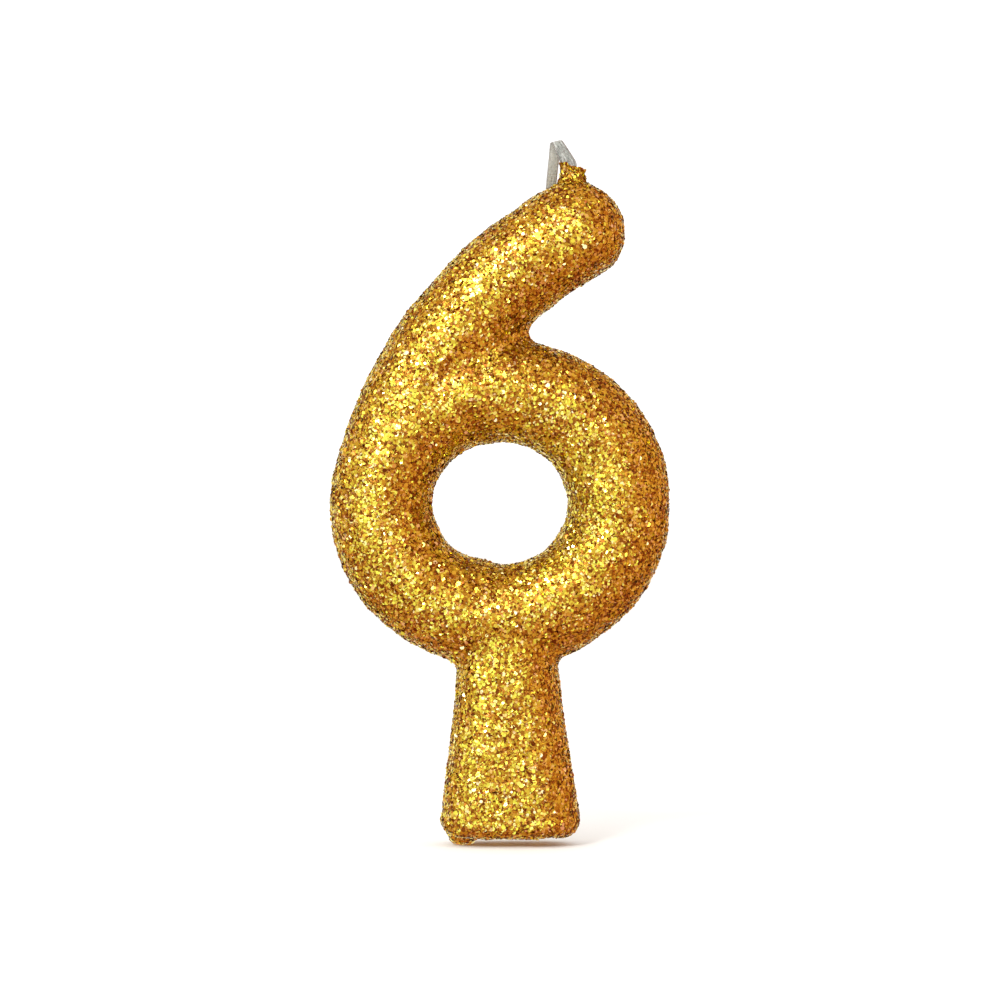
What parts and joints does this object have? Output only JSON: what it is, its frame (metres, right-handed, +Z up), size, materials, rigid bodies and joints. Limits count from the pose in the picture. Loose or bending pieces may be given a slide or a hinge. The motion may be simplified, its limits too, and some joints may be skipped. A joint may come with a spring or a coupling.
{
  "type": "number birthday candle",
  "caption": "Moulded wax numeral six on a flared stem, dipped in gold glitter, with a flat wick folded back on itself at the top.",
  "frame": {"origin": "middle of the foot's flat glittered underside, below the stem", "axes": "+Z up, along the numeral's height; the numeral is read from -Y, so its thickness lies along Y and +X is the reader's right"},
  "size_m": [0.0416, 0.0114, 0.0861],
  "materials": {
    "wax": "moulded paraffin wax, pale yellow",
    "tack": "amber dyed adhesive wax, dipped",
    "glitter": "bed of gold metallised film flakes",
    "cotton": "flat braided cotton",
    "wick_wax": "clear priming wax"
  },
  "bodies": {
    "candle": {"wax_core": "wax", "tack_coat": "tack", "glitter_coat": "glitter", "foot_drip": "glitter", "wick_collar": "glitter", "wick_stem_cotton": "cotton", "wick_stem_wax": "wick_wax"},
    "wick_leg": {"wick_leg_cotton": "cotton", "wick_leg_wax": "wick_wax"},
    "wick_tail": {"wick_tail_cotton": "cotton", "wick_tail_wax": "wick_wax"}
  },
  "joints": [
    {"name": "wick_lean", "type": "hinge", "parent": "candle", "child": "wick_leg", "pos_m": [0.00715, 0, 0.08241], "axis": [0, 1, 0], "range_deg": [0, 45]},
    {"name": "wick_unfold", "type": "hinge", "parent": "wick_leg", "child": "wick_tail", "pos_m": [0.00567, 0.00032, 0.08478], "axis": [0.9724, 0, 0.2334], "range_deg": [0, 161]}
  ]
}
